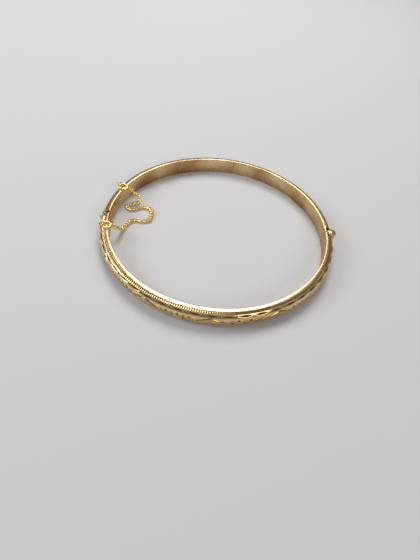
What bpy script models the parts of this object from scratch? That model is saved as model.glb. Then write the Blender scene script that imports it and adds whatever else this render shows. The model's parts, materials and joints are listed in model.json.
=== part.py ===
"""Hinged oval bangle bracelet with a snap tongue and a safety chain.

Metres, +Z up. The bangle lies on its side edge, so Z runs across its band and the wrist hole is along Z.
The hinge is at +X, the clasp at -X, the engraved front half at -Y and the plain back half at +Y.
"""

import math

import bmesh
import bpy
from mathutils import Matrix, Vector

MM = 0.001

# Driving dimensions
WRIST_X = 31.0 * MM  # half the inside width, clasp to hinge
WRIST_Y = 29.6 * MM  # half the inside depth, front to back
BAND_WIDTH = 4.8 * MM  # across the band, along Z
BAND_DEPTH = 2.5 * MM  # from the inside face to the crown of the dome
EDGE_LAND = 0.55 * MM  # flat rim on each edge of the band
SHEET = 0.35 * MM  # gold sheet that the hollow band is made from
FIT_GAP = 0.02 * MM  # between pieces that are soldered face to face
BAND_STEPS = 44  # sections along each half
DOME_STEPS = 12  # points round the outside of the dome
HOLLOW_STEPS = 8  # points round the inside of the hollow

# Clasp end
CLASP_GAP = 0.2 * MM  # from the seam plane to each end plate
FLANGE = 0.2 * MM  # how far the clasp end plates stand proud of the band
PLATE = 0.35 * MM
TONGUE_LENGTH = 5.5 * MM
LEAF_LOW, LEAF_HIGH = 1.5 * MM, 3.3 * MM  # tongue edges along Z
LOWER_LEAF = (0.5 * MM, 0.75 * MM)  # depth range above the inside face
UPPER_LEAF = (1.15 * MM, 1.4 * MM)
SLOT = (0.4 * MM, 1.55 * MM)
SLOT_LOW, SLOT_HIGH = 1.3 * MM, 3.5 * MM
SLOT_CUT = (-1.5 * MM, 0.1 * MM)  # reach of the slot's cutter either side of the seam
FOLD_OVERLAP, FOLD_LENGTH = 0.01 * MM, 0.3 * MM
SPRING_START = 0.12 * MM  # from the fold to the spring leaf, so that the leaf can swing
STEP_ALONG = (-0.65 * MM, -1.3 * MM)  # the catch step, just past the catch plate
STEP_INSET = 0.2 * MM  # from the leaf's edges to the step's
STEP_SINK, STEP_CLEARANCE = 0.1 * MM, 0.06 * MM  # into the leaf, and under the top of the slot
LEAF_STEPS = 8
THUMB_REACH = 3.2 * MM  # tip of the thumb piece above the inside face
THUMB_THICK = 0.2 * MM
THUMB_HALF_WIDTH = 1.15 * MM

# Hinge end
HINGE_DEPTH = 1.9 * MM  # pin axis above the inside face
BARREL_RADIUS = 1.3 * MM
BARREL_BORE = 0.52 * MM
PIN_RADIUS = 0.45 * MM
HEAD_RADIUS = 0.78 * MM
HEAD_THICK = 0.2 * MM
BARREL_GAP = 0.08 * MM  # between stacked knuckles
WEB_INNER, WEB_OUTER = 0.75 * MM, 0.55 * MM  # how far a knuckle's web reaches each way from the pin axis
ROUND_SIDES = 24  # sides of the barrel and the pin
PIN_END_GAP = 0.02 * MM  # from each head to the edge of the band
HEAD_CROWN = 0.6  # the head's flat top, as a share of its radius, and where its taper ends
SHELL_SETBACK = 1.85 * MM  # where the hollow band stops, leaving room for the barrel
SEAM_GAP = 0.1 * MM  # from the seam plane to each lining end

# Safety chain
LINK_COUNT = 40
LINK_HOOK = 0.25 * MM  # how far a link's wire centreline reaches past each pivot
LINK_HALF_WIDTH = 0.45 * MM
WIRE_RADIUS = 0.15 * MM
RING_RADIUS = 1.15 * MM
RING_WIRE = 0.21 * MM
RING_TILT = math.radians(9)
THREAD_GAP = 0.03 * MM  # between a ring's wire and the wire of its eye
EYE_LIFT = 0.06 * MM  # from the dome to the foot of an eye
EYE_RADIUS = 0.75 * MM
EYE_WIRE = 0.24 * MM
EYE_DEPTH = 1.35 * MM  # eye centre above the inside face
BACK_ROLL_STEP = math.radians(5)  # turn from link to link near each ring
FRONT_ROLL_STEP = math.radians(15)
BACK_RING_Y = 10.7 * MM
FRONT_RING_Y = -5.6 * MM
BACK_RUNS = (2, 3, 2, 3)  # links that turn as one, from the back ring
FRONT_RUNS = (2, 9, 3, 2, 4, 2, 6, 2)  # and from the front ring

HINGE_X = WRIST_X + HINGE_DEPTH
CLASP_REACH = WRIST_X + HINGE_X  # from the pin axis to the inside face at the clasp


# ---- helpers -------------------------------------------------------------------------------------------------


def clear_scene():
    for obj in list(bpy.data.objects):
        bpy.data.objects.remove(obj)


def material(name, colour, roughness):
    mat = bpy.data.materials.new(name)
    mat.use_nodes = True
    shader = mat.node_tree.nodes["Principled BSDF"]
    shader.inputs["Base Color"].default_value = (*colour, 1)
    shader.inputs["Metallic"].default_value = 1.0
    shader.inputs["Roughness"].default_value = roughness
    return mat


def add_object(name, bm, mat, smooth=True):
    bmesh.ops.recalc_face_normals(bm, faces=bm.faces)
    mesh = bpy.data.meshes.new(name)
    bm.to_mesh(mesh)
    bm.free()
    if smooth:
        mesh.shade_smooth()
        mesh.set_sharp_from_angle(angle=math.radians(35))
    mesh.materials.append(mat)
    obj = bpy.data.objects.new(name, mesh)
    bpy.context.scene.collection.objects.link(obj)
    return obj


def cut(obj, cutter, operation="DIFFERENCE"):
    """The Boolean stays on obj as a modifier, and the cutter is a hidden guide."""
    cutter.hide_render = True
    cutter.display_type = "WIRE"
    boolean = obj.modifiers.new(cutter.name, "BOOLEAN")
    boolean.operation = operation
    boolean.object = cutter
    return obj


def sweep(stations):
    """Skins a list of closed loops (lists of points) into one closed solid with flat ends."""
    bm = bmesh.new()
    rings = [[bm.verts.new(point) for point in loop] for loop in stations]
    count = len(rings[0])
    for near, far in zip(rings, rings[1:]):
        for i in range(count):
            j = (i + 1) % count
            bm.faces.new((near[i], near[j], far[j], far[i]))
    bm.faces.new(rings[0])
    bm.faces.new(list(reversed(rings[-1])))
    return bm


def ring_sweep(stations):
    """As sweep, for loops that close back on the first."""
    bm = bmesh.new()
    rings = [[bm.verts.new(point) for point in loop] for loop in stations]
    count = len(rings[0])
    for k, near in enumerate(rings):
        far = rings[(k + 1) % len(rings)]
        for i in range(count):
            j = (i + 1) % count
            bm.faces.new((near[i], near[j], far[j], far[i]))
    return bm


def cylinder(radius, low, high, sides, centre=(0, 0)):
    loops = []
    for z in (low, high):
        loops.append(
            [
                Vector(
                    (
                        centre[0] + radius * math.cos(2 * math.pi * i / sides),
                        centre[1] + radius * math.sin(2 * math.pi * i / sides),
                        z,
                    )
                )
                for i in range(sides)
            ]
        )
    return sweep(loops)


def block(low, high):
    bm = bmesh.new()
    size = Vector(high) - Vector(low)
    centre = (Vector(high) + Vector(low)) / 2
    bmesh.ops.create_cube(bm, size=1, matrix=Matrix.Translation(centre) @ Matrix.Diagonal((*size, 1)))
    return bm


# ---- the oval ------------------------------------------------------------------------------------------------


def oval_point(turn, depth, z):
    """A point at this angle round the oval (0 at the hinge, pi/2 at the back, pi at the clasp)."""
    on = Vector((WRIST_X * math.cos(turn), WRIST_Y * math.sin(turn), 0))
    out = Vector((WRIST_Y * math.cos(turn), WRIST_X * math.sin(turn), 0)).normalized()
    return on + out * depth + Vector((0, 0, z))


def turn_of(distance):
    """Angle that spans this distance along the inside face, near the hinge or the clasp."""
    return distance / WRIST_Y


def band_sweep(profile, start, end, steps):
    """Sweeps a (depth, z) profile round the oval between two angles."""
    turns = [start + (end - start) * k / steps for k in range(steps + 1)]
    return sweep([[oval_point(turn, depth, z) for depth, z in profile] for turn in turns])


def dome(depth, width, steps):
    """Dome curve from the lower rim to the upper rim, as (depth, z) pairs."""
    middle = BAND_WIDTH / 2
    points = []
    for k in range(steps + 1):
        angle = math.pi * (k / steps - 0.5)
        r = EDGE_LAND + (depth - EDGE_LAND) * math.cos(angle)
        z = middle + width / 2 * math.sin(angle)
        points.append((r, z))
    return points


def shell_profile():
    """The domed sheet with its two rims turned in over the lining."""
    outer = dome(BAND_DEPTH, BAND_WIDTH, DOME_STEPS)
    inner = dome(BAND_DEPTH - SHEET, BAND_WIDTH - 2 * SHEET, HOLLOW_STEPS)
    foot = SHEET + FIT_GAP
    return [(foot, 0.0), *outer, (foot, BAND_WIDTH), (foot, BAND_WIDTH - SHEET), *reversed(inner), (foot, SHEET)]


def lining_profile():
    return [(0.0, 0.0), (SHEET, 0.0), (SHEET, BAND_WIDTH), (0.0, BAND_WIDTH)]


# ---- the two halves ------------------------------------------------------------------------------------------

# side is +1 for the back half and -1 for the front half


def make_half(name, side, gold, satin):
    hinge_shell = turn_of(SHELL_SETBACK)
    hinge_lining = turn_of(SEAM_GAP)
    clasp_end = math.pi - turn_of(CLASP_GAP + PLATE + FIT_GAP)
    shell = band_sweep(shell_profile(), side * hinge_shell, side * clasp_end, BAND_STEPS)
    add_object(name + "_shell", shell, gold)
    lining = band_sweep(lining_profile(), side * hinge_lining, side * clasp_end, BAND_STEPS)
    add_object(name + "_lining", lining, satin)


def plate_profile_above_lining():
    """D section from the lining outwards."""
    return [(SHEET + FIT_GAP, 0.0), *dome(BAND_DEPTH, BAND_WIDTH, DOME_STEPS), (SHEET + FIT_GAP, BAND_WIDTH)]


def make_hinge_plate(name, side, gold):
    """Closes the hollow band beside the barrel."""
    start = turn_of(SHELL_SETBACK - FIT_GAP - PLATE)
    end = turn_of(SHELL_SETBACK - FIT_GAP)
    add_object(name, band_sweep(plate_profile_above_lining(), side * start, side * end, 1), gold)


def make_knuckle(name, side, low, high, gold):
    """A barrel with a web that reaches back to its own half's end plate."""
    barrel = add_object(name, cylinder(BARREL_RADIUS, low, high, ROUND_SIDES, (HINGE_X, 0)), gold)
    web_far = side * (SHELL_SETBACK - PLATE - 3 * FIT_GAP)
    web_near = side * BARREL_RADIUS * 0.5
    web = block(
        (HINGE_X - WEB_INNER, min(web_near, web_far), low),
        (HINGE_X + WEB_OUTER, max(web_near, web_far), high),
    )
    cut(barrel, add_object(name + "_web_guide", web, gold, smooth=False), "UNION")
    bore = cylinder(BARREL_BORE, low - 1 * MM, high + 1 * MM, ROUND_SIDES, (HINGE_X, 0))
    cut(barrel, add_object(name + "_bore_guide", bore, gold, smooth=False))


def make_hinge_pin(gold):
    """Riveted pin: a rod with a low domed head at each end, turned as one piece."""
    sides = ROUND_SIDES
    low, high = PIN_END_GAP, BAND_WIDTH - PIN_END_GAP
    outline = [
        (HEAD_RADIUS * HEAD_CROWN, low),
        (HEAD_RADIUS, low + HEAD_THICK * HEAD_CROWN),
        (HEAD_RADIUS, low + HEAD_THICK),
        (PIN_RADIUS, low + HEAD_THICK),
        (PIN_RADIUS, high - HEAD_THICK),
        (HEAD_RADIUS, high - HEAD_THICK),
        (HEAD_RADIUS, high - HEAD_THICK * HEAD_CROWN),
        (HEAD_RADIUS * HEAD_CROWN, high),
    ]
    loops = [
        [
            Vector((HINGE_X + r * math.cos(2 * math.pi * i / sides), r * math.sin(2 * math.pi * i / sides), z))
            for i in range(sides)
        ]
        for r, z in outline
    ]
    add_object("hinge_pin", sweep(loops), gold)


def make_hinge(gold):
    bottom = PIN_END_GAP + HEAD_THICK + FIT_GAP
    top = BAND_WIDTH - bottom
    third = (top - bottom - 2 * BARREL_GAP) / 3
    make_knuckle("front_knuckle_lower", -1, bottom, bottom + third, gold)
    make_knuckle("back_knuckle_middle", 1, bottom + third + BARREL_GAP, top - third - BARREL_GAP, gold)
    make_knuckle("front_knuckle_upper", -1, top - third, top, gold)
    make_hinge_pin(gold)


# ---- the clasp -----------------------------------------------------------------------------------------------


def clasp_point(depth, along, z):
    """A point on the tongue's path: an arc about the hinge pin, so that the tongue draws straight out."""
    reach = CLASP_REACH + depth
    angle = along / CLASP_REACH
    return Vector((HINGE_X - reach * math.cos(angle), reach * math.sin(angle), z))


def arc_plate(depths, z_range, start, end, steps):
    loops = []
    for k in range(steps + 1):
        along = start + (end - start) * k / steps
        loops.append(
            [clasp_point(depth, along, z) for depth, z in (
                (depths[0], z_range[0]), (depths[1], z_range[0]), (depths[1], z_range[1]), (depths[0], z_range[1])
            )]
        )
    return sweep(loops)


def make_end_plate(name, side, gold):
    """A plate over the clasp end that stands a little proud of the band on its inner and outer faces."""
    start = math.pi - turn_of(CLASP_GAP)
    end = math.pi - turn_of(CLASP_GAP + PLATE)
    profile = [(-FLANGE, 0.0), *dome(BAND_DEPTH + FLANGE, BAND_WIDTH, DOME_STEPS), (-FLANGE, BAND_WIDTH)]
    return add_object(name, band_sweep(profile, side * start, side * end, 1), gold)


def make_clasp(gold):
    make_end_plate("tongue_end_plate", 1, gold)
    catch = make_end_plate("catch_plate", -1, gold)
    slot = arc_plate(SLOT, (SLOT_LOW, SLOT_HIGH), *SLOT_CUT, 1)
    cut(catch, add_object("catch_slot_guide", slot, gold, smooth=False))
    root = CLASP_GAP - FIT_GAP
    leaf_edges = (LEAF_LOW, LEAF_HIGH)
    lower = arc_plate(LOWER_LEAF, leaf_edges, root, -TONGUE_LENGTH, LEAF_STEPS)
    lower_leaf = add_object("tongue_lower_leaf", lower, gold)
    fold_depths = (LOWER_LEAF[0], UPPER_LEAF[1])
    fold = arc_plate(fold_depths, leaf_edges, FOLD_OVERLAP - TONGUE_LENGTH, -FOLD_LENGTH - TONGUE_LENGTH, 1)
    cut(lower_leaf, add_object("tongue_fold_guide", fold, gold, smooth=False), "UNION")
    upper = arc_plate(UPPER_LEAF, leaf_edges, THUMB_THICK / 2, SPRING_START - TONGUE_LENGTH, LEAF_STEPS)
    upper_leaf = add_object("tongue_spring_leaf", upper, gold)
    step_depths = (UPPER_LEAF[0] + STEP_SINK, SLOT[1] - STEP_CLEARANCE)
    step = arc_plate(step_depths, (LEAF_LOW + STEP_INSET, LEAF_HIGH - STEP_INSET), *STEP_ALONG, 1)
    cut(upper_leaf, add_object("catch_step_guide", step, gold, smooth=False), "UNION")
    make_thumb_piece(gold)


def make_thumb_piece(gold):
    """Half-round plate in the seam, soldered to the end of the spring leaf."""
    bottom = UPPER_LEAF[1] + FIT_GAP
    middle = BAND_WIDTH / 2
    straight = THUMB_REACH - THUMB_HALF_WIDTH
    outline = [(bottom, middle - THUMB_HALF_WIDTH)]
    steps = 10
    for k in range(steps + 1):
        angle = math.pi * (k / steps - 0.5)
        outline.append((straight + THUMB_HALF_WIDTH * math.cos(angle), middle + THUMB_HALF_WIDTH * math.sin(angle)))
    outline.append((bottom, middle + THUMB_HALF_WIDTH))
    loops = [
        [clasp_point(depth, along, z) for depth, z in outline]
        for along in (-THUMB_THICK / 2, THUMB_THICK / 2)
    ]
    add_object("thumb_piece", sweep(loops), gold)


# ---- the safety chain ----------------------------------------------------------------------------------------


def torus(centre, normal, radius, wire, segments, sides):
    """A ring of round wire about the given normal."""
    normal = normal.normalized()
    across = normal.orthogonal().normalized()
    along = normal.cross(across)
    loops = []
    for k in range(segments):
        angle = 2 * math.pi * k / segments
        out = across * math.cos(angle) + along * math.sin(angle)
        loops.append(
            [
                centre
                + out * (radius + wire * math.cos(2 * math.pi * i / sides))
                + normal * wire * math.sin(2 * math.pi * i / sides)
                for i in range(sides)
            ]
        )
    return ring_sweep(loops)


def ring_frame(ring_y):
    """(point on the inside face, outward direction, tangent) where a chain ring sits."""
    turn = math.pi - math.asin(ring_y / WRIST_Y)
    on = oval_point(turn, 0, 0)
    out = (oval_point(turn, 1, 0) - on).normalized()
    return on, out, Vector((0, 0, 1)).cross(out)


def eye_centre(ring_y):
    on, out, _ = ring_frame(ring_y)
    lift = (EYE_DEPTH - EDGE_LAND) / (BAND_DEPTH - EDGE_LAND)
    dome_top = BAND_WIDTH / 2 * (1 + math.sqrt(1 - lift * lift))
    return on + out * EYE_DEPTH + Vector((0, 0, dome_top + EYE_LIFT + EYE_WIRE + EYE_RADIUS))


def ring_inward(ring_y):
    """Direction across a ring, from its eye to the chain, tilted down a little by the chain's weight."""
    _, out, _ = ring_frame(ring_y)
    return -out * math.cos(RING_TILT) - Vector((0, 0, math.sin(RING_TILT)))


def ring_centre(ring_y):
    threaded = eye_centre(ring_y) - Vector((0, 0, EYE_RADIUS - EYE_WIRE - RING_WIRE - THREAD_GAP))
    return threaded + ring_inward(ring_y) * RING_RADIUS


def ring_far_point(ring_y):
    """Where the chain hooks the ring, just inside its wire at the inner side."""
    return ring_centre(ring_y) + ring_inward(ring_y) * (RING_RADIUS - RING_WIRE)


def make_ring_and_eye(name, ring_y, gold):
    _, _, tangent = ring_frame(ring_y)
    add_object(name + "_chain_eye", torus(eye_centre(ring_y), tangent, EYE_RADIUS, EYE_WIRE, 16, 8), gold)
    normal = tangent.cross(ring_inward(ring_y))
    add_object(name + "_jump_ring", torus(ring_centre(ring_y), normal, RING_RADIUS, RING_WIRE, 20, 8), gold)


# Where the chain lies, from the back ring to the front ring, in millimetres
CHAIN_ROUTE = (
    (-26.9, 11.1, 4.0),
    (-25.9, 11.4, 2.3),
    (-24.6, 10.9, 1.1),
    (-24.7, 9.6, 0.65),
    (-26.0, 9.0, 0.55),
    (-27.4, 8.5, 0.55),
    (-27.8, 7.3, 0.55),
    (-26.9, 6.4, 0.55),
    (-25.4, 6.6, 0.55),
    (-23.6, 7.6, 0.55),
    (-21.6, 7.8, 0.55),
    (-20.3, 6.6, 0.55),
    (-19.9, 4.4, 0.55),
    (-20.4, 2.4, 0.55),
    (-21.9, 1.6, 0.55),
    (-23.6, 2.0, 0.55),
    (-25.2, 1.7, 0.55),
    (-26.5, 0.0, 0.55),
    (-27.2, -2.2, 0.7),
    (-27.5, -3.9, 2.0),
    (-27.9, -5.0, 3.7),
)


def spline(points, samples=24):
    """A smooth curve through the points (centripetal Catmull-Rom)."""
    padded = [points[0] * 2 - points[1], *points, points[-1] * 2 - points[-2]]
    out = []
    for p0, p1, p2, p3 in zip(padded, padded[1:], padded[2:], padded[3:]):
        t1 = math.sqrt((p1 - p0).length)
        t2 = t1 + math.sqrt((p2 - p1).length)
        t3 = t2 + math.sqrt((p3 - p2).length)
        for k in range(samples):
            t = t1 + (t2 - t1) * k / samples
            a1 = p0 * ((t1 - t) / t1) + p1 * (t / t1)
            a2 = p1 * ((t2 - t) / (t2 - t1)) + p2 * ((t - t1) / (t2 - t1))
            a3 = p2 * ((t3 - t) / (t3 - t2)) + p3 * ((t - t2) / (t3 - t2))
            b1 = a1 * ((t2 - t) / t2) + a2 * (t / t2)
            b2 = a2 * ((t3 - t) / (t3 - t1)) + a3 * ((t - t1) / (t3 - t1))
            out.append(b1 * ((t2 - t) / (t2 - t1)) + b2 * ((t - t1) / (t2 - t1)))
    return [*out, points[-1]]


def march(curve, pitch, count):
    """Pivots a straight pitch apart along the curve, and how far the last is from the curve's end."""
    pivots, index = [curve[0]], 0
    for _ in range(count):
        here = pivots[-1]
        while index < len(curve) - 1 and (curve[index + 1] - here).length < pitch:
            index += 1
        if index == len(curve) - 1:
            return pivots, -1.0
        low, high = 0.0, 1.0
        for _ in range(30):
            share = (low + high) / 2
            point = curve[index].lerp(curve[index + 1], share)
            low, high = (share, high) if (point - here).length < pitch else (low, share)
        pivots.append(curve[index].lerp(curve[index + 1], high))
    return pivots, (curve[-1] - pivots[-1]).length


def chain_pivots():
    """The points where each link hooks the next, LINK_COUNT equal steps from ring to ring."""
    curve = spline([ring_far_point(BACK_RING_Y), *[Vector(p) * MM for p in CHAIN_ROUTE], ring_far_point(FRONT_RING_Y)])
    low, high = 0.5 * MM, 1.5 * MM
    for _ in range(40):
        pitch = (low + high) / 2
        _, short = march(curve, pitch, LINK_COUNT)
        low, high = (low, pitch) if short < 0 else (pitch, high)
    pivots, _ = march(curve, low, LINK_COUNT)
    pivots[-1] = curve[-1]
    return pivots


def end_roll(index):
    """Extra turn of the links nearest each ring, so that the last one stands square to the ring's wire."""
    from_start, from_end = index, LINK_COUNT - 1 - index
    return FRONT_ROLL_STEP * max(0, 3 - from_end) + BACK_ROLL_STEP * max(0, 6 - from_start)


def carried_sides(directions):
    """A sideways vector for every link, flat at mid-chain and carried out to both ends without twisting."""
    middle = len(directions) // 2
    sides = {middle: Vector((0, 0, 1)).cross(directions[middle]).normalized()}
    for k in [*range(middle + 1, len(directions)), *range(middle - 1, -1, -1)]:
        before = sides[k - 1] if k > middle else sides[k + 1]
        along = directions[k]
        sides[k] = (before - along * before.dot(along)).normalized()
    return sides


def link_loops(start, end, side, roll, segments=10, sides=5):
    """A curb link: an oval of round wire, twisted so that it hooks its neighbours and lies flat."""
    middle = (start + end) / 2
    half_length = (end - start).length / 2 + LINK_HOOK
    along = (end - start).normalized()
    up = along.cross(side)
    points = []
    for k in range(segments):
        t = 2 * math.pi * (k + 0.5) / segments
        twist = roll + math.radians(45) * math.cos(t)
        width = LINK_HALF_WIDTH * math.sin(t)
        points.append(
            middle
            + along * half_length * math.cos(t)
            + side * width * math.cos(twist)
            + up * width * math.sin(twist)
        )
    loops = []
    for k, point in enumerate(points):
        tangent = (points[(k + 1) % segments] - points[k - 1]).normalized()
        out = (point - middle).normalized()
        out = (out - tangent * out.dot(tangent)).normalized()
        binormal = tangent.cross(out)
        loops.append(
            [
                point
                + out * WIRE_RADIUS * math.cos(2 * math.pi * i / sides)
                + binormal * WIRE_RADIUS * math.sin(2 * math.pi * i / sides)
                for i in range(sides)
            ]
        )
    return loops


def make_chain(gold):
    pivots = chain_pivots()
    steps = list(zip(pivots, pivots[1:]))
    sides = carried_sides([(end - start).normalized() for start, end in steps])
    for k, (start, end) in enumerate(steps):
        loops = link_loops(start, end, sides[k], end_roll(k))
        add_object(f"chain_link_{k + 1:02d}", ring_sweep(loops), gold)
    print("link pitch, mm:", round((pivots[1] - pivots[0]).length / MM, 4))


# ---- joints --------------------------------------------------------------------------------------------------


def attach(child, axis):
    """Parents child to a joint's empty and leaves it where it is."""
    child.parent = axis
    child.matrix_parent_inverse = Matrix.Translation(-axis.location)


def joint_axis(name, point, parent=None):
    """An empty on a joint's axis, for the pieces that move on it."""
    axis = bpy.data.objects.new(name, None)
    axis.location = point
    axis.empty_display_size = 1 * MM
    bpy.context.scene.collection.objects.link(axis)
    if parent:
        attach(axis, parent)
    return axis


def attach_named(names, axis):
    for name in names:
        attach(bpy.data.objects[name], axis)


def attach_run(name, links, pivot, parent):
    run = joint_axis(name, pivot, parent)
    attach_named([f"chain_link_{link:02d}" for link in links], run)
    return run


def make_joints():
    middle = BAND_WIDTH / 2
    hinge = joint_axis("bangle_hinge", Vector((HINGE_X, 0, middle)))
    attach_named(("back_shell", "back_lining", "back_hinge_plate", "back_chain_eye"), hinge)
    attach_named(("back_knuckle_middle", "back_knuckle_middle_web_guide", "back_knuckle_middle_bore_guide"), hinge)
    attach_named(("tongue_end_plate", "tongue_lower_leaf", "tongue_fold_guide"), hinge)
    fold_depth = (LOWER_LEAF[0] + UPPER_LEAF[1]) / 2
    spring = joint_axis("thumb_press", clasp_point(fold_depth, -TONGUE_LENGTH, middle), hinge)
    attach_named(("tongue_spring_leaf", "catch_step_guide", "thumb_piece"), spring)
    pivots = chain_pivots()
    axis = joint_axis("back_ring_swing", eye_centre(BACK_RING_Y), hinge)
    attach_named(("back_jump_ring",), axis)
    link = 1
    for k, count in enumerate(BACK_RUNS):
        axis = attach_run(f"back_chain_run_{k + 1}", range(link, link + count), pivots[link - 1], axis)
        link += count
    axis = joint_axis("front_ring_swing", eye_centre(FRONT_RING_Y))
    attach_named(("front_jump_ring",), axis)
    link = LINK_COUNT
    for k, count in enumerate(FRONT_RUNS):
        axis = attach_run(f"front_chain_run_{k + 1}", range(link, link - count, -1), pivots[link], axis)
        link -= count


def main():
    clear_scene()
    gold = material("yellow_gold", (0.83, 0.6, 0.3), 0.2)
    satin = material("satin_gold", (0.75, 0.52, 0.28), 0.35)
    chain_gold = material("chain_gold", (0.87, 0.6, 0.2), 0.18)
    for name, side in (("front", -1), ("back", 1)):
        make_half(name, side, gold, satin)
        make_hinge_plate(name + "_hinge_plate", side, gold)
    make_hinge(gold)
    make_clasp(gold)
    make_ring_and_eye("back", BACK_RING_Y, chain_gold)
    make_ring_and_eye("front", FRONT_RING_Y, chain_gold)
    make_chain(chain_gold)
    make_joints()


main()
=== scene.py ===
# %% [markdown]
# # Hinged oval bangle with a safety chain
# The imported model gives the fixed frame: every body and joint, and most sizes, come from it. This script
# only dresses that frame. It builds finer meshes over the plain solids, gives each metal its finish, and
# sets the floor and lights. Sizes are in millimetres here, except for the floor and the lights, which are in
# metres.

import json
import math

import bmesh
import bpy
import numpy as np
from mathutils import Matrix, Vector


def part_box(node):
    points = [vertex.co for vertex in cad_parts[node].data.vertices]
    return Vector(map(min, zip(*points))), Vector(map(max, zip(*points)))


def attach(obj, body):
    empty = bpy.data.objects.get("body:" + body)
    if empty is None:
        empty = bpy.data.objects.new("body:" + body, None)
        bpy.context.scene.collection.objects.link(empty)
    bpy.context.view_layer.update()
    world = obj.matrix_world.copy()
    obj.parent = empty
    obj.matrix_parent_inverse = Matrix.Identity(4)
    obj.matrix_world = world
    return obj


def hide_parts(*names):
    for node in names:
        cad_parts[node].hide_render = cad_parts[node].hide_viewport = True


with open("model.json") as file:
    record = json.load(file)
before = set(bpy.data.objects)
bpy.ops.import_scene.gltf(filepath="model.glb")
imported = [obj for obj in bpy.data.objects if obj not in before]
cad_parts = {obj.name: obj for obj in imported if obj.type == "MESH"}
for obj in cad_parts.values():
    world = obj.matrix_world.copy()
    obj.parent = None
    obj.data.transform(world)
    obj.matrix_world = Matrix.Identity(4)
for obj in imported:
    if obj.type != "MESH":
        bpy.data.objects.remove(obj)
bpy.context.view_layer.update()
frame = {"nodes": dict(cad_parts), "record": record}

MM = 0.001
BODY_OF = {
    node: body
    for body, nodes in frame["record"]["behaviour"]["bodies"].items()
    for node in nodes
}

# %% [markdown]
# ## Sizes read from the frame
# The lining is the innermost piece, so its box, less its own thickness, gives the inside of the oval. The
# shell's box gives the crown of the dome. Reading these keeps the fine meshes on the solids. A box doesn't
# show how thick the sheet is or how wide the rim is, so those are stated, with the solids' values.

# %% Oval and band sizes
SHEET = 0.35  # thickness of the gold sheet
FIT_GAP = 0.02  # between sheets that are soldered face to face
EDGE_LAND = 0.55  # flat rim on each edge of the band, from the inside face
lining_low, lining_high = (Vector(corner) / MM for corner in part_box("front_lining"))
shell_low = Vector(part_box("front_shell")[0]) / MM
BAND_WIDTH = lining_high.z - lining_low.z
WRIST_X = round(lining_high.x - SHEET, 2)  # rounded, because the lining stops a hair short of the seam
WRIST_Y = -lining_low.y - SHEET
BAND_DEPTH = -shell_low.y - WRIST_Y
print(f"inside {2 * WRIST_X:.1f} x {2 * WRIST_Y:.1f} mm, band {BAND_WIDTH:.2f} wide, {BAND_DEPTH:.2f} deep")

# %% [markdown]
# ## Camera
# The camera looks down at about fifty degrees from just in front of the bangle, close in and with a wide
# lens, so the near half is drawn larger than the far half. A small roll tips the hinge side down.

# %% Camera
CAMERA_AT = Vector((-4.97, -76.34, 76.52)) * MM
CAMERA_AIM = Vector((-1.33, -17.63, 0.0)) * MM
CAMERA_ROLL = math.radians(7.73)
CAMERA_LENS = 23.27
SENSOR_WIDTH = 36.0
NEAREST_SEEN = 5 * MM

camera_data = bpy.data.cameras.new("camera")
camera_data.lens = CAMERA_LENS
camera_data.sensor_width = SENSOR_WIDTH
camera_data.clip_start = NEAREST_SEEN
camera = bpy.data.objects.new("camera", camera_data)
bpy.context.scene.collection.objects.link(camera)
camera.location = CAMERA_AT
camera.rotation_mode = "QUATERNION"
aim = (CAMERA_AIM - CAMERA_AT).to_track_quat("-Z", "Y")
camera.rotation_quaternion = aim @ Matrix.Rotation(CAMERA_ROLL, 3, "Z").to_quaternion()
bpy.context.scene.camera = camera
print("camera to aim, mm:", round((CAMERA_AIM - CAMERA_AT).length / MM, 1))

# %% [markdown]
# ## Colour and node helpers
# Hex colours are easy to read and compare, but Blender's shaders work in linear light, so one function
# converts them. The other helper adds a node and sets its inputs, which keeps each material below short
# enough to read at a glance.


# %% Helpers for materials
def linear(hex_colour):
    """An sRGB hex colour as linear RGBA."""
    parts = [int(hex_colour[i : i + 2], 16) / 255 for i in (1, 3, 5)]
    return (*[p / 12.92 if p <= 0.04045 else ((p + 0.055) / 1.055) ** 2.4 for p in parts], 1.0)


def add_node(tree, kind, inputs=None, **settings):
    """Adds a node, sets its properties, and sets or links its inputs."""
    node = tree.nodes.new(kind)
    for name, value in settings.items():
        setattr(node, name, value)
    for name, value in (inputs or {}).items():
        if isinstance(value, bpy.types.NodeSocket):
            tree.links.new(value, node.inputs[name])
        else:
            node.inputs[name].default_value = value
    return node


PER_MM = 1 / MM  # turns a pattern's repeats per millimetre into Blender's repeats per metre
print("mid grey #808080 is", round(linear("#808080")[0], 3), "in linear light")

# %% [markdown]
# ## A finish for the golds
# Nine carat gold is paler and a little greyer than pure gold. A worn polish isn't an even mirror: its tint
# drifts over about a centimetre, its roughness over less than a millimetre, and lines from the polishing
# break the highlights. All three come from noise, and for the lines the noise is stretched. The engraved
# dome carries an attribute, cut, that is one at the bottom of a cut: there a brown shade is painted into
# the colour, so the cuts look darker. The three golds differ only in numbers, so one function makes
# them all. Blender's Mix node has sockets of every type under the same names, so its colour sockets are
# picked by number.

# %% Finish for the golds
TINT_DRIFT = 0.09  # patches per mm, so one every 11 mm
WORN_SPOTS = 1.4  # spots per mm, so one every 0.7 mm
MIX_FACTOR, MIX_FIRST, MIX_SECOND = 0, 6, 7
MIX_RESULT = 2


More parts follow.
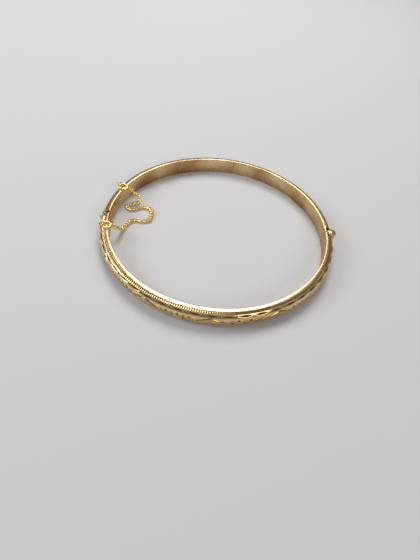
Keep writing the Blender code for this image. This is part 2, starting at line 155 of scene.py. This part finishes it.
def gold_finish(name, light, dark, cut_shade, smooth, rough, grain_scale, grain_stretch, grain_depth):
    """A gold whose tint and polish drift, with a stretched grain of so many lines per mm as bump."""
    material = bpy.data.materials.new(name)
    material.use_nodes = True
    tree = material.node_tree
    shader = tree.nodes["Principled BSDF"]
    shader.inputs["Metallic"].default_value = 1.0
    place = add_node(tree, "ShaderNodeTexCoord").outputs["Object"]
    drift_noise = add_node(
        tree, "ShaderNodeTexNoise", {"Vector": place, "Scale": TINT_DRIFT * PER_MM, "Detail": 4.0}
    )
    drift = add_node(
        tree, "ShaderNodeMapRange", {"Value": drift_noise.outputs["Fac"], "From Min": 0.35, "From Max": 0.65}
    )
    wear = add_node(
        tree,
        "ShaderNodeTexNoise",
        {"Vector": place, "Scale": WORN_SPOTS * PER_MM, "Detail": 6.0, "Roughness": 0.65},
    )
    # the cut attribute marks where a brown shade is painted into the engraved cuts
    cut_mark = add_node(tree, "ShaderNodeAttribute", attribute_name="cut")
    tint = add_node(
        tree,
        "ShaderNodeMix",
        {MIX_FACTOR: drift.outputs["Result"], MIX_FIRST: linear(light), MIX_SECOND: linear(dark)},
        data_type="RGBA",
    )
    # paints a dark brown shade into the cuts, darker in deeper ones
    cut_shaded = add_node(
        tree,
        "ShaderNodeMix",
        {
            MIX_FACTOR: cut_mark.outputs["Fac"],
            MIX_FIRST: tint.outputs[MIX_RESULT],
            MIX_SECOND: linear(cut_shade),
        },
        data_type="RGBA",
    )
    tree.links.new(cut_shaded.outputs[MIX_RESULT], shader.inputs["Base Color"])
    polish = add_node(
        tree,
        "ShaderNodeMapRange",
        {"Value": wear.outputs["Fac"], "From Min": 0.3, "From Max": 0.75, "To Min": smooth, "To Max": rough},
    )
    tree.links.new(polish.outputs["Result"], shader.inputs["Roughness"])
    stretched = add_node(tree, "ShaderNodeMapping", {"Vector": place, "Scale": grain_stretch})
    grain = add_node(
        tree,
        "ShaderNodeTexNoise",
        {"Vector": stretched.outputs["Vector"], "Scale": grain_scale * PER_MM, "Detail": 3.0},
    )
    bump = add_node(
        tree,
        "ShaderNodeBump",
        {"Height": grain.outputs["Fac"], "Strength": 0.5, "Distance": grain_depth * MM},
    )
    tree.links.new(bump.outputs["Normal"], shader.inputs["Normal"])
    print("material:", name)
    return material


# %% [markdown]
# ## Polished gold
# The domes, the plates and the hinge are buffed on a wheel, which gives long highlights with soft ends. The
# colour swings between a pale straw and a slightly deeper gold, and a brown shade is painted into the cuts.

# %% Polished gold
# Lines 0.25 mm apart along Z are much coarser than real polishing hairlines, so that they still show
polished_gold = gold_finish(
    "polished_nine_carat_gold",
    light="#f3d6a0",
    dark="#e2bb84",
    # the brown below is shade painted into the engraved cuts
    cut_shade="#6e4a28",
    smooth=0.1,
    rough=0.22,
    grain_scale=2.0,
    grain_stretch=(0.25, 0.25, 2.0),
    grain_depth=0.004,
)

# %% [markdown]
# ## Satin gold
# The inside of the band is left satin: it was rubbed with an abrasive along its length, so fine lines run
# round the bangle, and it has browned a little against the skin. Stretching the grain along Z only, as
# lines that repeat across the band, gives lines that follow the band whichever way it curves.

# %% Satin gold
# Lines 0.16 mm apart stand for rubbing marks that are far finer, so that they still show
satin_gold = gold_finish(
    "satin_rubbed_gold",
    light="#e8cb9c",
    dark="#b58c60",
    cut_shade="#6e4a28",
    smooth=0.22,
    rough=0.4,
    grain_scale=1.6,
    grain_stretch=(0.12, 0.12, 4.0),
    grain_depth=0.008,
)

# %% [markdown]
# ## Chain gold
# The chain is a richer, yellower alloy, bright all over because each link is drawn wire. Drawing leaves no
# lines that a viewer could make out, so its grain is even in all directions and very shallow.

# %% Chain gold
chain_gold = gold_finish(
    "drawn_wire_yellow_gold",
    light="#ffe69c",
    dark="#f6d27a",
    cut_shade="#8a6226",
    smooth=0.14,
    rough=0.26,
    grain_scale=1.5,
    grain_stretch=(1.0, 1.0, 1.0),
    grain_depth=0.002,
)

# %% [markdown]
# ## Following the oval
# Both halves follow half an ellipse. Blender could sweep a section along a curve, but the engraving needs
# to know where each point lies on the band, so the points are computed with numpy. The solids use the same
# formula, which keeps the two in step. A half stops short of the seam at both ends, by the amounts that its
# solid does.

# %% Places round the oval
HINGE_SETBACK = {"shell": 1.85, "lining": 0.1}  # from the seam; the shell leaves room for the hinge's barrel
CLASP_GAP = 0.2  # from the seam to an end plate, which is as thick as the sheet


def oval_frame(turn):
    """Points on the inside face and outward directions, for an array of angles round the oval."""
    on = np.stack([WRIST_X * np.cos(turn), WRIST_Y * np.sin(turn)], axis=-1)
    out = np.stack([WRIST_Y * np.cos(turn), WRIST_X * np.sin(turn)], axis=-1)
    return on, out / np.linalg.norm(out, axis=-1, keepdims=True)


def half_turns(node, samples):
    """Equal steps of angle, from the hinge end to the clasp end of a half's shell or lining."""
    half, part = node.split("_")
    side = -1 if half == "front" else 1
    start = HINGE_SETBACK[part] / WRIST_Y
    end = math.pi - (CLASP_GAP + SHEET + FIT_GAP) / WRIST_Y
    return side * np.linspace(start, end, samples)


print("front shell turns, degrees:", np.degrees(half_turns("front_shell", 2)).round(1))

# %% [markdown]
# ## From points to a piece
# Python lists of points and faces become a mesh with from_pydata. Its normals are then made to face
# outwards, and its faces are shaded smooth up to an angle, so that the rims stay crisp. The cut attribute
# is stored with the points.

# %% A mesh from points
CRISP_RIM = math.radians(50)  # an edge that bends more than this stays sharp


def mesh_piece(name, points_mm, faces, material, cut_marks=None):
    """A smooth-shaded object from points in mm; cut_marks become the attribute that darkens cuts."""
    mesh = bpy.data.meshes.new(name)
    mesh.from_pydata((np.asarray(points_mm) * MM).tolist(), [], faces)
    mesh.validate()
    bm = bmesh.new()
    bm.from_mesh(mesh)
    bmesh.ops.recalc_face_normals(bm, faces=bm.faces)
    bm.to_mesh(mesh)
    bm.free()
    mesh.shade_smooth()
    mesh.set_sharp_from_angle(angle=CRISP_RIM)
    if cut_marks is not None:
        mark = mesh.attributes.new("cut", "FLOAT", "POINT")
        mark.data.foreach_set("value", np.asarray(cut_marks, dtype=np.float32).ravel())
    mesh.materials.append(material)
    piece = bpy.data.objects.new(name, mesh)
    bpy.context.scene.collection.objects.link(piece)
    return piece


# %% [markdown]
# ## Sweeping a section
# A sweep is a grid: one axis runs round the oval, the other round the section. Each square of the grid is a
# face, and the two ends are closed with one face each, as on the solid.


# %% Sweep round the oval
def sweep_band(name, turns, depths, heights, material, cut_marks=None):
    """Sweeps a closed section round the oval: depths and heights are (turns, section points) grids."""
    on, out = oval_frame(turns)
    flat = on[:, None, :] + out[:, None, :] * depths[:, :, None]
    points = np.concatenate([flat, heights[:, :, None]], axis=-1).reshape(-1, 3)
    rows, columns = depths.shape
    faces = []
    for row in range(rows - 1):
        base = row * columns
        for column in range(columns):
            after = (column + 1) % columns
            faces.append((base + column, base + after, base + columns + after, base + columns + column))
    faces.append(tuple(range(columns)))
    faces.append(tuple(range((rows - 1) * columns, rows * columns)))
    return mesh_piece(name, points, faces, material, cut_marks)


# %% [markdown]
# ## Taking a solid's place
# Every fine piece moves with its node's body and hides the plain solid. One helper does both, so that no
# piece is left behind when the bangle opens.


# %% Dress a node
def dress(piece, node):
    """Rides the piece on its node's body, in place of the plain solid."""
    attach(piece, BODY_OF[node])
    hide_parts(node)
    print(f"{piece.name}: {len(piece.data.polygons)} faces on {BODY_OF[node]}")


# %% [markdown]
# ## The dome's section
# The outside is half an ellipse over a narrow flat rim, as on the solid. The section also has a hollow
# inner side, so that the band is a real shell of sheet metal and the tongue has room when the clasp is
# shut.

# %% Dome section
DOME_POINTS = 97
HOLLOW_POINTS = 12
DOME = slice(1, 1 + DOME_POINTS)  # the dome's own points within the section


def dome_section():
    """Depths and heights of the section's points, outer side first, and the dome's outward directions."""
    angle = np.pi * (np.linspace(0, 1, DOME_POINTS) - 0.5)
    middle = BAND_WIDTH / 2
    depth = EDGE_LAND + (BAND_DEPTH - EDGE_LAND) * np.cos(angle)
    height = middle + middle * np.sin(angle)
    normal = np.stack([np.cos(angle) * middle, np.sin(angle) * (BAND_DEPTH - EDGE_LAND)], axis=-1)
    normal /= np.linalg.norm(normal, axis=-1, keepdims=True)
    inner_angle = np.pi * (0.5 - np.linspace(0, 1, HOLLOW_POINTS))
    inner_depth = EDGE_LAND + (BAND_DEPTH - SHEET - EDGE_LAND) * np.cos(inner_angle)
    inner_height = middle + (middle - SHEET) * np.sin(inner_angle)
    foot = SHEET + FIT_GAP
    depths = [[foot], depth, [foot], [foot], inner_depth, [foot]]
    heights = [[0], height, [BAND_WIDTH], [BAND_WIDTH - SHEET], inner_height, [SHEET]]
    return np.concatenate(depths), np.concatenate(heights), normal


section_depth, section_height, dome_normal = dome_section()
dome_steps = np.hypot(np.diff(section_depth[DOME]), np.diff(section_height[DOME]))
across = np.concatenate([[0], np.cumsum(dome_steps)])
across -= across[-1] / 2
print(f"dome is {across[-1] * 2:.2f} mm round its section")

# %% [markdown]
# ## Tool marks
# The front is cut by hand tools and a milling wheel. A bump map would look flat where the light grazes the
# dome, so every cut is real depth in the mesh. Each pattern is a depth as a function of u, the distance
# along the band, and s, the distance across it from the crown. Two tool marks make up nearly all of it: a
# V-shaped groove, and a lens-shaped cut that a graver makes as it dips in and out. Each V catches the light
# on one wall. The cuts are deeper than real ones, which would be too fine to show in the render.

# %% Groove, lens cut and repeat
LEAST_WIDTH = 1e-6  # keeps the division safe at a lens cut's two points


def groove(distance, half_width, depth):
    """A V-shaped groove: full depth at distance zero, nothing beyond its half width."""
    return depth * np.clip(1 - np.abs(distance) / half_width, 0, 1)


def lens_cut(du, ds, half_length, half_width, depth):
    """A lens-shaped V cut, narrowing to a point at both ends."""
    width = half_width * np.clip(1 - (du / half_length) ** 2, 0, 1)
    inside = np.abs(du) < half_length
    wall = np.clip(1 - np.abs(ds) / (width + LEAST_WIDTH), 0, 1)
    return np.where(inside, depth * width / half_width * wall, 0)


def repeat(u, pitch):
    """Distance from the middle of the nearest repeat."""
    return (u / pitch - np.round(u / pitch)) * pitch


print("groove 0.2 mm deep, halfway up its wall:", groove(0.15, 0.3, 0.2).round(2), "mm deep")

# %% [markdown]
# ## Border and bright cuts
# A milling wheel rolls a border of short cross lines along each edge of the band. Beside it runs a row of
# long lens-shaped bright cuts, and the two rows are half a pitch out of step.

# %% Border and bright cuts
HATCH_PITCH = 0.6  # coarser than real milling, so that the lines still show
HATCH_DEPTH = 0.13
HATCH_FROM, HATCH_TO = 2.35, 3.15  # the border's reach across the band, from the crown
HATCH_EDGE = 0.12  # over which it fades in and out
LENS_LENGTH = 3.7
LENS_PITCH = 4.15
LENS_HALF_WIDTH = 0.34
LENS_DEPTH = 0.22
LENS_ROW = 1.9  # from the crown


def hatch_border(u, s):
    """Cross lines along both edges of the band, as a wave that fades in and out."""
    fade_in = np.clip((np.abs(s) - HATCH_FROM) / HATCH_EDGE, 0, 1)
    fade_out = np.clip((HATCH_TO - np.abs(s)) / HATCH_EDGE, 0, 1)
    return fade_in * fade_out * HATCH_DEPTH * (0.5 + 0.5 * np.cos(2 * np.pi * u / HATCH_PITCH))


def lens_row(u, ds):
    """One row of bright cuts, where ds is the distance from the row's middle."""
    return lens_cut(repeat(u, LENS_PITCH), ds, LENS_LENGTH / 2, LENS_HALF_WIDTH, LENS_DEPTH)


def lens_rows(u, s):
    """Both rows of bright cuts, half a pitch out of step."""
    return lens_row(u, s - LENS_ROW) + lens_row(u + LENS_PITCH / 2, s + LENS_ROW)


print(f"border lines every {HATCH_PITCH} mm, bright cuts every {LENS_PITCH} mm")

# %% [markdown]
# ## Stem and leaves
# Down the middle flows a stem, cut as one long wavy groove. Three leaves fan out inside each bend, each a
# short lens cut turned by its own lean, and the fan starts across the stem's line from that bend.

# %% Stem and leaves
STEM_WAVE = 3.0  # length of one full wave
STEM_SWAY = 0.55  # from the crown to a bend
STEM_HALF_WIDTH = 0.22
STEM_DEPTH = 0.18
LEAF_LEANS = (-0.9, 0.0, 0.9)  # radians
LEAF_OUT = 0.15  # from the fan's centre to a leaf's middle
LEAF_HALF_LENGTH = 0.68
LEAF_HALF_WIDTH = 0.22
LEAF_DEPTH = 0.2


def stem_and_leaves(u, s):
    """A waving stem with a fan of leaves at each bend, for the flowered stretches."""
    sway = np.sin(2 * np.pi * u / STEM_WAVE)
    stem = groove(s - STEM_SWAY * sway, STEM_HALF_WIDTH, STEM_DEPTH)
    local = repeat(u - STEM_WAVE / 4, STEM_WAVE / 2)
    from_bend = s * np.sign(sway) + STEM_SWAY
    leaves = 0
    for lean in LEAF_LEANS:
        along = local * np.sin(lean) + from_bend * np.cos(lean)
        beside = local * np.cos(lean) - from_bend * np.sin(lean)
        leaf = lens_cut(along - LEAF_OUT, beside, LEAF_HALF_LENGTH, LEAF_HALF_WIDTH, LEAF_DEPTH)
        leaves = np.maximum(leaves, leaf)
    return np.maximum(stem, leaves)


print(f"stem bends every {STEM_WAVE / 2} mm")

# %% [markdown]
# ## Lozenge
# Between the flowered stretches sits a plain polished diamond with two outlines and a small cross cut at
# its middle. Adding the distances along and across, each as a share of the diamond's half size, gives one
# on its edge.

# %% Lozenge
LOZENGE_HALF_LENGTH = 3.6
LOZENGE_HALF_WIDTH = 1.25
OUTER_LINE = (1.0, 0.17, 0.17)  # place and half width as shares of the diamond, and depth in mm
INNER_LINE = (0.66, 0.12, 0.11)
STAR_LONG, STAR_SHORT = 0.75, 0.5
STAR_HALF_WIDTH = 0.17
STAR_DEPTH = 0.15


def lozenge(u, s):
    """A plain polished diamond between two outlines, with a small cross cut at its middle."""
    share = np.abs(u) / LOZENGE_HALF_LENGTH + np.abs(s) / LOZENGE_HALF_WIDTH
    outlines = []
    for place, half_width, depth in (OUTER_LINE, INNER_LINE):
        outlines.append(groove(share - place, half_width, depth))
    long_cut = lens_cut(u, s, STAR_LONG, STAR_HALF_WIDTH, STAR_DEPTH)
    short_cut = lens_cut(s, u, STAR_SHORT, STAR_HALF_WIDTH, STAR_DEPTH)
    return np.maximum(np.maximum(*outlines), np.maximum(long_cut, short_cut))


print(f"lozenge {2 * LOZENGE_HALF_LENGTH} x {2 * LOZENGE_HALF_WIDTH} mm")

# %% [markdown]
# ## The whole pattern
# A lozenge comes round once a motif, and stem and leaves fill the rest. The middle stays within its own
# strip, and the pattern fades out before each end of the band, where the engraver stopped.

# %% The whole pattern
MOTIF_PITCH = 17.0
LOZENGE_REACH, LOZENGE_FADE = 4.1, 0.3  # where the stem takes over from the lozenge
MIDDLE_REACH, MIDDLE_FADE = 1.5, 0.1  # half the width of the middle strip
END_FADE = 1.0


def engraving(u, s, u_end):
    """Depth of the cuts, for a pattern that runs from -u_end to u_end."""
    local = repeat(u, MOTIF_PITCH)
    flowered = np.clip((np.abs(local) - LOZENGE_REACH) / LOZENGE_FADE, 0, 1)
    middle = flowered * stem_and_leaves(u, s) + (1 - flowered) * lozenge(local, s)
    middle = middle * np.clip((MIDDLE_REACH - np.abs(s)) / MIDDLE_FADE, 0, 1)
    fade = np.clip((u_end - np.abs(u)) / END_FADE, 0, 1)
    return fade * np.maximum(np.maximum(hatch_border(u, s), lens_rows(u, s)), middle)


print(f"motif every {MOTIF_PITCH} mm")

# %% [markdown]
# ## Front half
# The grid is fine enough for a cut a third of a millimetre wide: a row about every 0.08 mm along the band
# and a point about every 0.07 mm across the dome. The engraving lowers each point along the dome's own
# outward direction. Cut points get the cut attribute, more the deeper they lie, which the gold's finish
# reads to paint brown shade into the cuts.

# %% Engraved front dome
FRONT_ROWS = 1201
PLAIN_END = 0.6  # left uncut at each end of the band
FULL_CUT_SHADE = 0.14  # a cut this deep gets the full painted shade

turns = half_turns("front_shell", FRONT_ROWS)
on, out = oval_frame(turns)
crown = on + out * BAND_DEPTH
along_band = np.concatenate([[0], np.cumsum(np.linalg.norm(np.diff(crown, axis=0), axis=1))])
along_band -= along_band[-1] / 2
u_grid, s_grid = np.meshgrid(along_band, across, indexing="ij")
cut_depth = engraving(u_grid, s_grid, along_band[-1] - PLAIN_END)
depths = np.tile(section_depth, (FRONT_ROWS, 1))
heights = np.tile(section_height, (FRONT_ROWS, 1))
depths[:, DOME] -= cut_depth * dome_normal[None, :, 0]
heights[:, DOME] -= cut_depth * dome_normal[None, :, 1]
cut_marks = np.zeros_like(depths)
# how much brown shade is painted into each point of a cut, more the deeper it lies
cut_marks[:, DOME] = np.clip(cut_depth / FULL_CUT_SHADE, 0, 1)
front_dome = sweep_band("front_dome_engraved", turns, depths, heights, polished_gold, cut_marks)
dress(front_dome, "front_shell")
print(f"engraved length {along_band[-1] * 2:.1f} mm, deepest cut {cut_depth.max():.2f} mm")

# %% [markdown]
# ## Back half
# The back is plain. Years of wear leave soft dents that a reflection shows at once, so the dome gets a
# gentle wave of about two hundredths of a millimetre, too shallow to see as a shape but enough to bend the
# highlights.

# %% Plain back dome
BACK_ROWS = 321
DENT_DEPTH = 0.012  # half of the deepest dent
DENTS_ROUND = 23  # radians of wave for each radian round the oval
DENTS_ACROSS = 1.1  # radians of wave for each millimetre across the dome
DENTS_SLANT = 9  # slides the wave across the dome as it goes round

turns = half_turns("back_shell", BACK_ROWS)
depths = np.tile(section_depth, (BACK_ROWS, 1))
heights = np.tile(section_height, (BACK_ROWS, 1))
dents = np.sin(turns * DENTS_ROUND)[:, None] * np.sin(across * DENTS_ACROSS + turns[:, None] * DENTS_SLANT)
depths[:, DOME] -= DENT_DEPTH * (1 + dents) * dome_normal[None, :, 0]
back_dome = sweep_band("back_dome_plain", turns, depths, heights, polished_gold)
dress(back_dome, "back_shell")

# %% [markdown]
# ## Linings
# A flat strip of sheet closes each half from inside and touches the wrist. Its edges are rubbed round, and
# it has been pressed in by hand, so it undulates slightly. A rounded section with a few extra points shows
# both.

# %% Linings
RUBBED_EDGE = 0.1  # radius
EDGE_STEPS = 4
FACE_STEPS = 8
LINING_ROWS = 401
LINING_WAVE = 0.012  # half of its height
LINING_WAVES_ROUND = 31  # radians of wave for each radian round the oval


def lining_section():
    """A flat strip with rounded edges on its inner side."""
    depths, heights = [SHEET, SHEET, SHEET], [BAND_WIDTH, BAND_WIDTH / 2, 0]
    quarter = [math.pi / 2 * k / EDGE_STEPS for k in range(EDGE_STEPS + 1)]
    for angle in quarter:
        depths.append(RUBBED_EDGE * (1 - math.sin(angle)))
        heights.append(RUBBED_EDGE * (1 - math.cos(angle)))
    for k in range(1, FACE_STEPS):
        depths.append(0.0)
        heights.append(RUBBED_EDGE + (BAND_WIDTH - 2 * RUBBED_EDGE) * k / FACE_STEPS)
    for angle in quarter:
        depths.append(RUBBED_EDGE * (1 - math.cos(angle)))
        heights.append(BAND_WIDTH - RUBBED_EDGE * (1 - math.sin(angle)))
    return np.array(depths), np.array(heights)


lining_depth, lining_height = lining_section()
inner_side = lining_depth < SHEET / 2
for node in ("front_lining", "back_lining"):
    turns = half_turns(node, LINING_ROWS)
    depths = np.tile(lining_depth, (LINING_ROWS, 1))
    heights = np.tile(lining_height, (LINING_ROWS, 1))
    depths += LINING_WAVE * (1 + np.sin(turns * LINING_WAVES_ROUND))[:, None] * inner_side[None, :]
    lining = sweep_band(node + "_satin", turns, depths, heights, satin_gold)
    dress(lining, node)

# %% [markdown]
# ## Copies of the solids
# The solids already have the right outline for every small piece, so the fine ones start as copies of them.
# A frame mesh is all triangles with doubled points. Joining the points and dissolving the lines inside each
# flat face leaves only the edges that a file would touch.

# %% Copy of a solid
SAME_POINT = 0.0005 * MM  # points closer than this are joined
SAME_PLANE = math.radians(1)  # faces that bend less than this are merged
SHARP_EDGE = math.radians(35)  # an edge that bends more than this is filed


def copy_of(node, name, material):
    """A copy of a frame node's mesh with doubled points joined and triangles merged into flat faces."""
    mesh = frame["nodes"][node].data.copy()
    mesh.name = name
    bm = bmesh.new()
    bm.from_mesh(mesh)
    bmesh.ops.remove_doubles(bm, verts=bm.verts, dist=SAME_POINT)
    bmesh.ops.dissolve_limit(bm, angle_limit=SAME_PLANE, verts=bm.verts, edges=bm.edges)
    bm.to_mesh(mesh)
    bm.free()
    mesh.materials.clear()
    mesh.materials.append(material)
    mesh.shade_smooth()
    mesh.set_sharp_from_angle(angle=SHARP_EDGE)
    piece = bpy.data.objects.new(name, mesh)
    bpy.context.scene.collection.objects.link(piece)
    return piece


# %% [markdown]
# ## Small gold pieces
# The end plates, hinge barrel, tongue and thumb piece were sawn from sheet and tube, then filed, so every
# edge has a small round that catches a line of light. A Bevel modifier is the quickest way to that filed
# edge, and weighted normals keep the flat faces flat.

# %% Filed pieces
# How far each piece's filed edge reaches from its corner
FILED_EDGES = {
    "front_hinge_plate": 0.04,
    "back_hinge_plate": 0.04,
    "front_knuckle_lower": 0.06,
    "front_knuckle_upper": 0.06,
    "back_knuckle_middle": 0.06,
    "hinge_pin": 0.05,
    "catch_plate": 0.07,
    "tongue_end_plate": 0.07,
    "tongue_lower_leaf": 0.05,
    "tongue_spring_leaf": 0.05,
    "thumb_piece": 0.05,
}
for node, width in FILED_EDGES.items():
    piece = copy_of(node, node + "_filed", polished_gold)
    filed_edge = piece.modifiers.new("filed_edge", "BEVEL")
    filed_edge.width = width * MM
    filed_edge.segments = 3
    filed_edge.limit_method = "ANGLE"
    filed_edge.angle_limit = SHARP_EDGE
    flat_faces = piece.modifiers.new("flat_faces", "WEIGHTED_NORMAL")
    flat_faces.keep_sharp = True
    dress(piece, node)

# %% [markdown]
# ## Chain, rings and eyes
# The chain is a curb chain: each link is an oval of round wire, twisted so that the links lie flat against
# each other. The solids are those ovals with only a few sides. Turning their triangles back into quads and
# subdividing them gives round wire. Subdivision shrinks a wire with few sides, so its points are pushed out
# first: by enough to make up for that on the rings and eyes, and by a little more on the five-sided links,
# which would otherwise look thin.

# %% Drawn wire
QUAD_BEND = math.radians(60)
QUAD_SKEW = math.radians(120)
RING_SWELL = 0.04
LINK_SWELL = 0.07


def wire_piece(node, swell_mm):
    """Dresses a node of coarse wire in smooth round wire."""
    piece = copy_of(node, node + "_wire", chain_gold)
    bm = bmesh.new()
    bm.from_mesh(piece.data)
    triangles = [face for face in bm.faces if len(face.verts) == 3]
    bmesh.ops.join_triangles(
        bm, faces=triangles, angle_face_threshold=QUAD_BEND, angle_shape_threshold=QUAD_SKEW
    )
    bm.normal_update()
    for vert in bm.verts:
        vert.co += vert.normal * swell_mm * MM
    bm.to_mesh(piece.data)
    bm.free()
    piece.data.shade_smooth()
    subdivision = piece.modifiers.new("round_wire", "SUBSURF")
    subdivision.levels = 2
    subdivision.render_levels = 2
    dress(piece, node)


for node in ("back_chain_eye", "front_chain_eye", "back_jump_ring", "front_jump_ring"):
    wire_piece(node, RING_SWELL)
links = sorted(node for node in frame["nodes"] if node.startswith("chain_link_"))
for node in links:
    wire_piece(node, LINK_SWELL)
print("links:", len(links))

# %% [markdown]
# ## Floor
# The bangle lies on a plain pale sheet that curves up far away, as behind goods in a studio, so that low
# views have a plain background too. It is an outline of flat floor and quarter circle, turned about Z.

# %% Outline of the floor
FLOOR_CENTRE = 0.02  # radius of the face in the middle
FLOOR_FLAT = 0.9  # radius where the flat part ends
FLOOR_RISE = 0.9  # radius of the curve
RISE_STEPS = 12

floor_outline = [(FLOOR_CENTRE, 0.0), (FLOOR_FLAT, 0.0)]
for k in range(1, RISE_STEPS + 1):
    angle = math.pi / 2 * k / RISE_STEPS
    floor_outline.append((FLOOR_FLAT + FLOOR_RISE * math.sin(angle), FLOOR_RISE * (1 - math.cos(angle))))
print("floor reaches", floor_outline[-1], "metres out and up")

# %% [markdown]
# ## Turning the floor
# Each point of the outline becomes a ring of points, neighbouring rings are joined with quads, and one face
# closes the middle. Smooth shading hides the facets of the curve.

# %% Floor sheet
FLOOR_SIDES = 96

floor_points = []
for radius, height in floor_outline:
    for k in range(FLOOR_SIDES):
        turn = 2 * math.pi * k / FLOOR_SIDES
        floor_points.append((radius * math.cos(turn), radius * math.sin(turn), height))
floor_faces = [tuple(range(FLOOR_SIDES))]
for ring in range(len(floor_outline) - 1):
    near, far = ring * FLOOR_SIDES, (ring + 1) * FLOOR_SIDES
    for k in range(FLOOR_SIDES):
        after = (k + 1) % FLOOR_SIDES
        floor_faces.append((near + k, far + k, far + after, near + after))
floor_mesh = bpy.data.meshes.new("floor")
floor_mesh.from_pydata(floor_points, [], floor_faces)
floor_mesh.shade_smooth()
floor = bpy.data.objects.new("floor", floor_mesh)
bpy.context.scene.collection.objects.link(floor)
print("floor faces:", len(floor_mesh.polygons))

# %% [markdown]
# ## Background paper
# Studio paper is matt and neutral, so it needs only a pale grey and a high roughness. A matt floor also
# keeps the bangle's own reflections out of it.

# %% Background paper
floor_material = bpy.data.materials.new("pale_paper")
floor_material.use_nodes = True
paper = floor_material.node_tree.nodes["Principled BSDF"]
paper.inputs["Base Color"].default_value = linear("#c4c5c8")
paper.inputs["Roughness"].default_value = 0.85
floor_mesh.materials.append(floor_material)
print("material:", floor_material.name)

# %% [markdown]
# ## Surround
# Polished metal shows only what it reflects. A dim, slightly cool surround leaves the darker streaks that
# make it read as gold.

# %% Surround
world = bpy.data.worlds.new("dim_surround")
world.use_nodes = True
surround = world.node_tree.nodes["Background"]
surround.inputs["Color"].default_value = linear("#c9ccd2")
surround.inputs["Strength"].default_value = 0.5
bpy.context.scene.world = world
print("surround strength:", surround.inputs["Strength"].default_value)

# %% [markdown]
# ## Lights
# A large soft light above and behind the bangle gives the pale crown of the dome. A second on the left
# picks out the clasp, and a third in front on the right lifts the engraving and the hinge. The Standard view
# transform keeps the tones plain, without a film curve.


# %% Lights
def soft_light(name, place, size, power, tint):
    """A square area light that faces the bangle; place and size in metres, power in watts."""
    lamp = bpy.data.lights.new(name, "AREA")
    lamp.size = size
    lamp.energy = power
    lamp.color = linear(tint)[:3]
    lit = bpy.data.objects.new(name, lamp)
    lit.location = place
    lit.rotation_euler = (-Vector(place)).to_track_quat("-Z", "Y").to_euler()
    bpy.context.scene.collection.objects.link(lit)


soft_light("overhead_soft", place=(0.02, 0.3, 0.42), size=0.26, power=1.9, tint="#fffaf2")
soft_light("left_soft", place=(-0.42, 0.0, 0.28), size=0.2, power=1.0, tint="#ffffff")
soft_light("front_soft", place=(0.3, -0.4, 0.32), size=0.2, power=0.8, tint="#fff6e8")
bpy.context.scene.view_settings.view_transform = "Standard"
